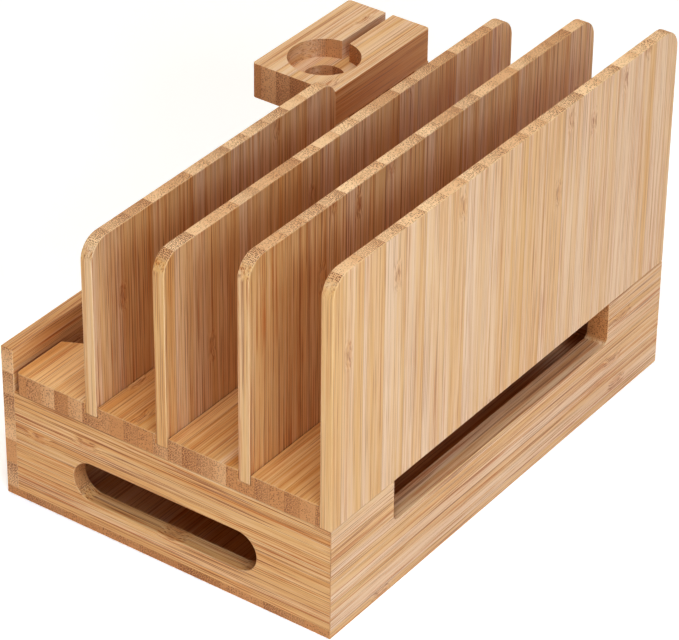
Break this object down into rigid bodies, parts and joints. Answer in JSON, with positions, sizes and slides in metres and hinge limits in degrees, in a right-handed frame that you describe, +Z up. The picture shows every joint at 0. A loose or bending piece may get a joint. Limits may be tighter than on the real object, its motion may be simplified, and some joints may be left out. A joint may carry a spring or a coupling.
{
  "type": "charging station organizer",
  "caption": "Bamboo box for a power strip with a lift-off rack of upright dividers for phones and tablets, and a plug-in stand with a recess for a watch charging puck.",
  "frame": {"origin": "on the table, under the middle of the box's footprint", "axes": "+Z up; X along the slots and the long walls; -Y is the front, with the low cut in its wall and the tallest divider; +Y is the raised back wall; the watch stand is at the +X end of the back"},
  "size_m": [0.228, 0.155, 0.157],
  "materials": {
    "bamboo_light": "satin",
    "bamboo_warm": "satin",
    "bamboo_deep": "satin",
    "dowel_wood": "matte"
  },
  "bodies": {
    "box": {"bottom_panel": "bamboo_warm", "front_wall": "bamboo_light", "back_wall": "bamboo_warm", "left_end_wall": "bamboo_warm", "right_end_wall": "bamboo_warm"},
    "rack": {"rack_board": "bamboo_warm", "front_divider": "bamboo_light"},
    "tall_divider": {"tall_divider": "bamboo_deep"},
    "middle_divider": {"middle_divider": "bamboo_deep"},
    "short_divider": {"short_divider": "bamboo_deep"},
    "watch_stand": {"watch_cradle": "bamboo_warm", "watch_post": "bamboo_deep", "post_dowels": "dowel_wood"}
  },
  "joints": [
    {"name": "rack_lift", "type": "slide", "parent": "box", "child": "rack", "axis": [0, 0, 1], "range_m": [0, 0.08]},
    {"name": "tall_divider_lift", "type": "slide", "parent": "rack", "child": "tall_divider", "axis": [0, 0, 1], "range_m": [0, 0.11]},
    {"name": "middle_divider_lift", "type": "slide", "parent": "rack", "child": "middle_divider", "axis": [0, 0, 1], "range_m": [0, 0.1]},
    {"name": "short_divider_lift", "type": "slide", "parent": "rack", "child": "short_divider", "axis": [0, 0, 1], "range_m": [0, 0.09]},
    {"name": "watch_stand_lift", "type": "slide", "parent": "rack", "child": "watch_stand", "axis": [0, 0, 1], "range_m": [0, 0.06]}
  ]
}
